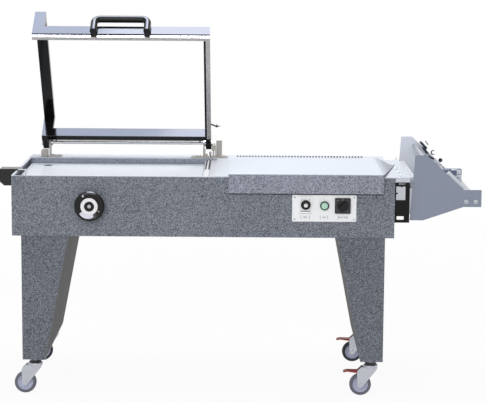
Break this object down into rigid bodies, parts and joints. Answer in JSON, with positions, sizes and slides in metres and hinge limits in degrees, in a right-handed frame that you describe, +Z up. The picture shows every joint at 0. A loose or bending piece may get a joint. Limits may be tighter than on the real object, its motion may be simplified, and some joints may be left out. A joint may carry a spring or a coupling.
{
  "type": "L bar sealer",
  "caption": "Manual L bar film sealer: legged cabinet on casters with a lifting tray, a hinged sealing arm, controls, a film table and a film roll cradle.",
  "frame": {"origin": "on the floor, midway between the left and right ends and between the front and back of the bounding box", "axes": "+X along the machine to the right seen from its front, +Y from the front to the back, +Z up"},
  "size_m": [1.6514, 0.664, 1.306],
  "materials": {
    "hammertone": "grey hammertone enamel",
    "black_panel": "satin black paint",
    "gloss_black": "gloss black enamel",
    "pale_sheet": "pale grey semi-gloss enamel",
    "table_grey": "light blue-grey enamel",
    "bare_steel": "brushed",
    "cradle_steel": "grey enamel with a soft sheen",
    "cradle_pale": "pale grey enamel with a soft sheen",
    "holder_grey": "blue-grey enamel",
    "bright": "polished plating",
    "zinc": "zinc plated",
    "silicone": "matt silicone",
    "bakelite": "moulded, glossy",
    "white_trim": "moulded, glossy",
    "black_plastic": "moulded, fine grain",
    "panel_silver": "fine satin",
    "pilot_green": "translucent lens in a dark ring",
    "roller_grey": "turned, satin",
    "tread": "grey non-marking rubber",
    "hub_plastic": "moulded",
    "brake_red": "moulded",
    "core_iron": "varnished laminations"
  },
  "bodies": {
    "base": {"cabinet_shell": "hammertone", "cabinet_floor": "hammertone", "rear_rail": "pale_sheet", "leg_left": "hammertone", "leg_right": "hammertone", "leg_panels": "black_panel", "front_seal_beam": "bare_steel", "side_seal_beam": "bare_steel", "seal_pads": "silicone", "deck_plate": "pale_sheet", "lift_bearings": "zinc", "film_table": "table_grey", "bridge_plate": "pale_sheet", "cradle_strip": "bare_steel", "cradle_support": "black_panel", "cradle_plate_front": "cradle_steel", "cradle_plate_rear": "cradle_pale", "cradle_rods": "bare_steel", "perforator_holder": "holder_grey", "control_panel": "panel_silver", "timer_body": "panel_silver", "switch_body": "black_plastic", "pilot_light": "pilot_green", "side_box": "black_plastic", "transformer": "core_iron", "cable_gland": "black_plastic", "plated_fixings": "zinc", "return_rod": "bright", "hinge_bracket_left": "bare_steel", "hinge_bracket_right": "bare_steel", "hinge_shaft": "bright", "caster_stems": "zinc"},
    "tray": {"tray": "pale_sheet", "tray_lift": "bare_steel"},
    "handwheel": {"handwheel": "bakelite", "handwheel_trim": "white_trim", "pinion_shaft": "bare_steel"},
    "arm": {"arm_frame": "gloss_black", "front_seal_jaw": "bright", "side_seal_jaw": "bright", "arm_handle": "gloss_black"},
    "roller_left": {"film_roller_left": "roller_grey"},
    "roller_right": {"film_roller_right": "roller_grey"},
    "perforator": {"perforator_wheel": "bare_steel"},
    "timer_knob": {"timer_knob": "bakelite"},
    "switch_handle": {"switch_handle": "bakelite"},
    "brake_front_right": {"brake_pedal_front_right": "brake_red"},
    "brake_rear_right": {"brake_pedal_rear_right": "brake_red"},
    "fork_front_left": {"caster_fork_front_left": "zinc"},
    "wheel_front_left": {"caster_hub_front_left": "hub_plastic", "caster_tyre_front_left": "tread"},
    "fork_rear_left": {"caster_fork_rear_left": "zinc"},
    "wheel_rear_left": {"caster_hub_rear_left": "hub_plastic", "caster_tyre_rear_left": "tread"},
    "fork_front_right": {"caster_fork_front_right": "zinc"},
    "wheel_front_right": {"caster_hub_front_right": "hub_plastic", "caster_tyre_front_right": "tread"},
    "fork_rear_right": {"caster_fork_rear_right": "zinc"},
    "wheel_rear_right": {"caster_hub_rear_right": "hub_plastic", "caster_tyre_rear_right": "tread"}
  },
  "joints": [
    {"name": "arm_lift", "type": "hinge", "parent": "base", "child": "arm", "pos_m": [-0.40275, 0.233, 0.82], "axis": [1, 0, 0], "range_deg": [0, 56.4], "stiffness_Nm_per_rad": 22, "springref_deg": -114.59},
    {"name": "tray_lift", "type": "slide", "parent": "base", "child": "tray", "axis": [0, 0, 1], "range_m": [-0.04, 0.012]},
    {"name": "handwheel_turn", "type": "hinge", "parent": "base", "child": "handwheel", "pos_m": [-0.50235, -0.292, 0.667], "axis": [0, 1, 0], "range_deg": [-45.85, 152.85]},
    {"name": "roller_left_spin", "type": "hinge", "parent": "base", "child": "roller_left", "pos_m": [0.63575, 0.003, 0.661], "axis": [0, 1, 0], "continuous": true},
    {"name": "roller_right_spin", "type": "hinge", "parent": "base", "child": "roller_right", "pos_m": [0.72575, 0.003, 0.689], "axis": [0, 1, 0], "continuous": true},
    {"name": "perforator_spin", "type": "hinge", "parent": "base", "child": "perforator", "pos_m": [0.76375, 0.003, 0.749], "axis": [0, 1, 0], "continuous": true},
    {"name": "timer_turn", "type": "hinge", "parent": "base", "child": "timer_knob", "pos_m": [0.22925, -0.292, 0.674], "axis": [0, 1, 0], "range_deg": [0, 270]},
    {"name": "switch_turn", "type": "hinge", "parent": "base", "child": "switch_handle", "pos_m": [0.35475, -0.292, 0.671], "axis": [0, 1, 0], "range_deg": [0, 90]},
    {"name": "swivel_front_left", "type": "hinge", "parent": "base", "child": "fork_front_left", "pos_m": [-0.6995, -0.24, 0.1], "axis": [0, 0, 1], "continuous": true},
    {"name": "roll_front_left", "type": "hinge", "parent": "fork_front_left", "child": "wheel_front_left", "pos_m": [-0.7345, -0.24, 0.0375], "axis": [0, 1, 0], "continuous": true},
    {"name": "swivel_rear_left", "type": "hinge", "parent": "base", "child": "fork_rear_left", "pos_m": [-0.6995, 0.251, 0.1], "axis": [0, 0, 1], "continuous": true},
    {"name": "roll_rear_left", "type": "hinge", "parent": "fork_rear_left", "child": "wheel_rear_left", "pos_m": [-0.7304, 0.23457, 0.0375], "axis": [-0.4695, 0.8829, 0], "continuous": true},
    {"name": "swivel_front_right", "type": "hinge", "parent": "base", "child": "fork_front_right", "pos_m": [0.462, -0.24, 0.1], "axis": [0, 0, 1], "continuous": true},
    {"name": "roll_front_right", "type": "hinge", "parent": "fork_front_right", "child": "wheel_front_right", "pos_m": [0.427, -0.24, 0.0375], "axis": [0, 1, 0], "continuous": true},
    {"name": "brake_front_right_press", "type": "hinge", "parent": "fork_front_right", "child": "brake_front_right", "pos_m": [0.425, -0.24, 0.083], "axis": [0, 1, 0], "range_deg": [-9, 0]},
    {"name": "swivel_rear_right", "type": "hinge", "parent": "base", "child": "fork_rear_right", "pos_m": [0.462, 0.251, 0.1], "axis": [0, 0, 1], "continuous": true},
    {"name": "roll_rear_right", "type": "hinge", "parent": "fork_rear_right", "child": "wheel_rear_right", "pos_m": [0.427, 0.251, 0.0375], "axis": [0, 1, 0], "continuous": true},
    {"name": "brake_rear_right_press", "type": "hinge", "parent": "fork_rear_right", "child": "brake_rear_right", "pos_m": [0.425, 0.251, 0.083], "axis": [0, 1, 0], "range_deg": [-9, 0]}
  ],
  "couplings": [
    {"joint": "handwheel_turn", "follows": "tray_lift", "rad_per_m": -66.667}
  ]
}
